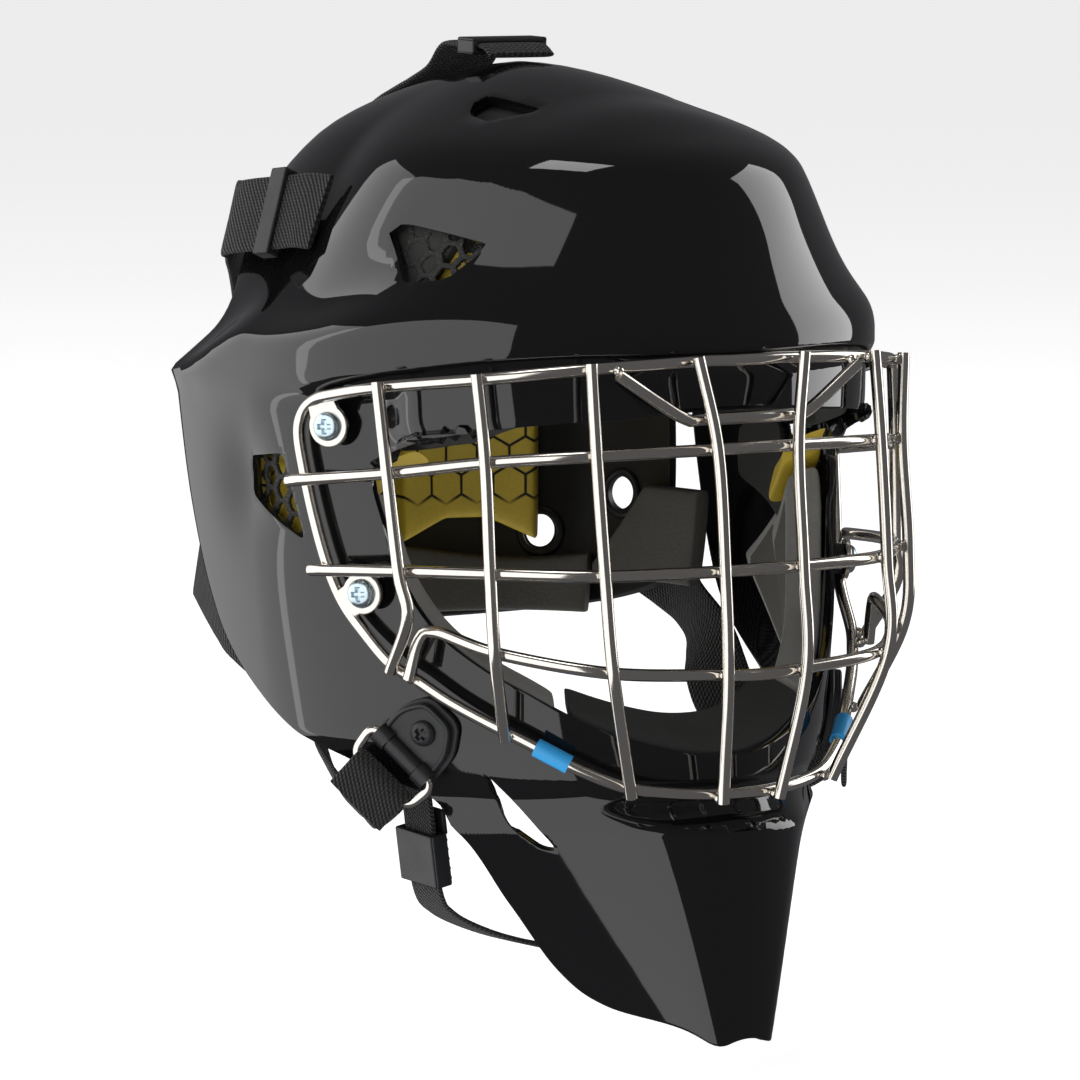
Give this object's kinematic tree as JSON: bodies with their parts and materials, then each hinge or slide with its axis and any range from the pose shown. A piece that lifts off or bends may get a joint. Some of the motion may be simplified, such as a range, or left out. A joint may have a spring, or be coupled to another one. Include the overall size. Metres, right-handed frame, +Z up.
{
  "type": "goalie mask",
  "caption": "Junior ice hockey goalie mask: glossy black moulded shell with pointed chin, bent-wire face cage, foam liner, elastic harness and backplate.",
  "frame": {"origin": "middle of the wearer's head, half way between the ears, on the mask's plane of symmetry", "axes": "+Z up towards the crown, -Y towards the face, +X towards the wearer's left"},
  "size_m": [0.2176, 0.2439, 0.3061],
  "materials": {
    "shell_gloss": "high gloss",
    "foam_dark": "closed-cell foam, matte",
    "foam_grey": "closed-cell foam, matte",
    "foam_yellow": "moulded foam, satin",
    "screen_plastic": "matte",
    "wire": "polished nickel",
    "screw_zinc": "zinc plated",
    "clip_plastic": "fine satin",
    "sleeve": "satin",
    "webbing": "woven",
    "plate_plastic": "satin"
  },
  "bodies": {
    "mask": {"shell": "shell_gloss", "crown_pad": "foam_dark", "brow_pad": "foam_dark", "chin_pad": "foam_dark", "cheek_pad_right": "foam_grey", "temple_pad_right": "foam_yellow", "cheek_vent_screen_right": "screen_plastic", "side_vent_screen_right": "screen_plastic", "cage_bar_right_1": "wire", "cage_bar_right_2": "wire", "cage_bar_right_3": "wire", "cage_bar_right_4": "wire", "cage_tab_right_upper": "wire", "cage_screw_right_upper": "screw_zinc", "cage_spacer_right_upper": "clip_plastic", "cage_tab_right_lower": "wire", "cage_screw_right_lower": "screw_zinc", "cage_spacer_right_lower": "clip_plastic", "rim_sleeve_right": "sleeve", "strap_clip_right": "clip_plastic", "clip_screw_right": "clip_plastic", "lower_strap_right": "webbing", "side_strap_right": "webbing", "cheek_pad_left": "foam_grey", "temple_pad_left": "foam_yellow", "cheek_vent_screen_left": "screen_plastic", "side_vent_screen_left": "screen_plastic", "cage_bar_left_1": "wire", "cage_bar_left_2": "wire", "cage_bar_left_3": "wire", "cage_bar_left_4": "wire", "cage_tab_left_upper": "wire", "cage_screw_left_upper": "screw_zinc", "cage_spacer_left_upper": "clip_plastic", "cage_tab_left_lower": "wire", "cage_screw_left_lower": "screw_zinc", "cage_spacer_left_lower": "clip_plastic", "rim_sleeve_left": "sleeve", "strap_clip_left": "clip_plastic", "clip_screw_left": "clip_plastic", "lower_strap_left": "webbing", "side_strap_left": "webbing", "cage_upper_bar": "wire", "cage_middle_bar": "wire", "cage_lower_bar": "wire", "cage_dip_bar": "wire", "cage_rim": "wire", "crown_strap": "webbing"},
    "rear": {"backplate": "plate_plastic", "back_foam": "foam_grey", "back_pad_right": "foam_yellow", "back_pad_left": "foam_yellow"},
    "ring_right": {"strap_ring_right": "wire"},
    "ring_left": {"strap_ring_left": "wire"},
    "sling": {"chin_sling": "webbing"},
    "sling_buckle": {"chin_buckle": "clip_plastic"},
    "top_slider": {"crown_slider": "clip_plastic"},
    "slider_right": {"side_slider_right": "clip_plastic"},
    "slider_left": {"side_slider_left": "clip_plastic"}
  },
  "joints": [
    {"name": "backplate_swing", "type": "hinge", "parent": "mask", "child": "rear", "pos_m": [0, 0.104, 0.077], "axis": [1, 0, 0], "range_deg": [0, 35], "deforming": ["lower_strap_right", "lower_strap_left", "side_strap_right", "side_strap_left", "crown_strap"]},
    {"name": "ring_hinge_right", "type": "hinge", "parent": "mask", "child": "ring_right", "pos_m": [-0.08319, -0.05502, -0.0587], "axis": [-0.4439, 0.5845, 0.6793], "range_deg": [-3, 35], "deforming": ["lower_strap_right"]},
    {"name": "ring_hinge_left", "type": "hinge", "parent": "mask", "child": "ring_left", "pos_m": [0.08319, -0.05502, -0.0587], "axis": [-0.4439, -0.5845, -0.6793], "range_deg": [-3, 35], "deforming": ["lower_strap_left"]},
    {"name": "chin_sling_swing", "type": "hinge", "parent": "mask", "child": "sling", "pos_m": [0, -0.043, -0.058], "axis": [1, 0, 0], "range_deg": [-8, 35]},
    {"name": "chin_buckle_slide", "type": "slide", "parent": "sling", "child": "sling_buckle", "axis": [-0.1785, -0.0669, 0.9817], "range_m": [-0.004, 0.004]},
    {"name": "crown_slider_slide", "type": "slide", "parent": "mask", "child": "top_slider", "axis": [0, 0.9993, 0.0381], "range_m": [-0.001, 0.008]},
    {"name": "side_slider_slide_right", "type": "slide", "parent": "mask", "child": "slider_right", "axis": [-0.1619, 0.9816, -0.1012], "range_m": [-0.005, 0.005]},
    {"name": "side_slider_slide_left", "type": "slide", "parent": "mask", "child": "slider_left", "axis": [0.1619, 0.9816, -0.1012], "range_m": [-0.005, 0.005]}
  ]
}
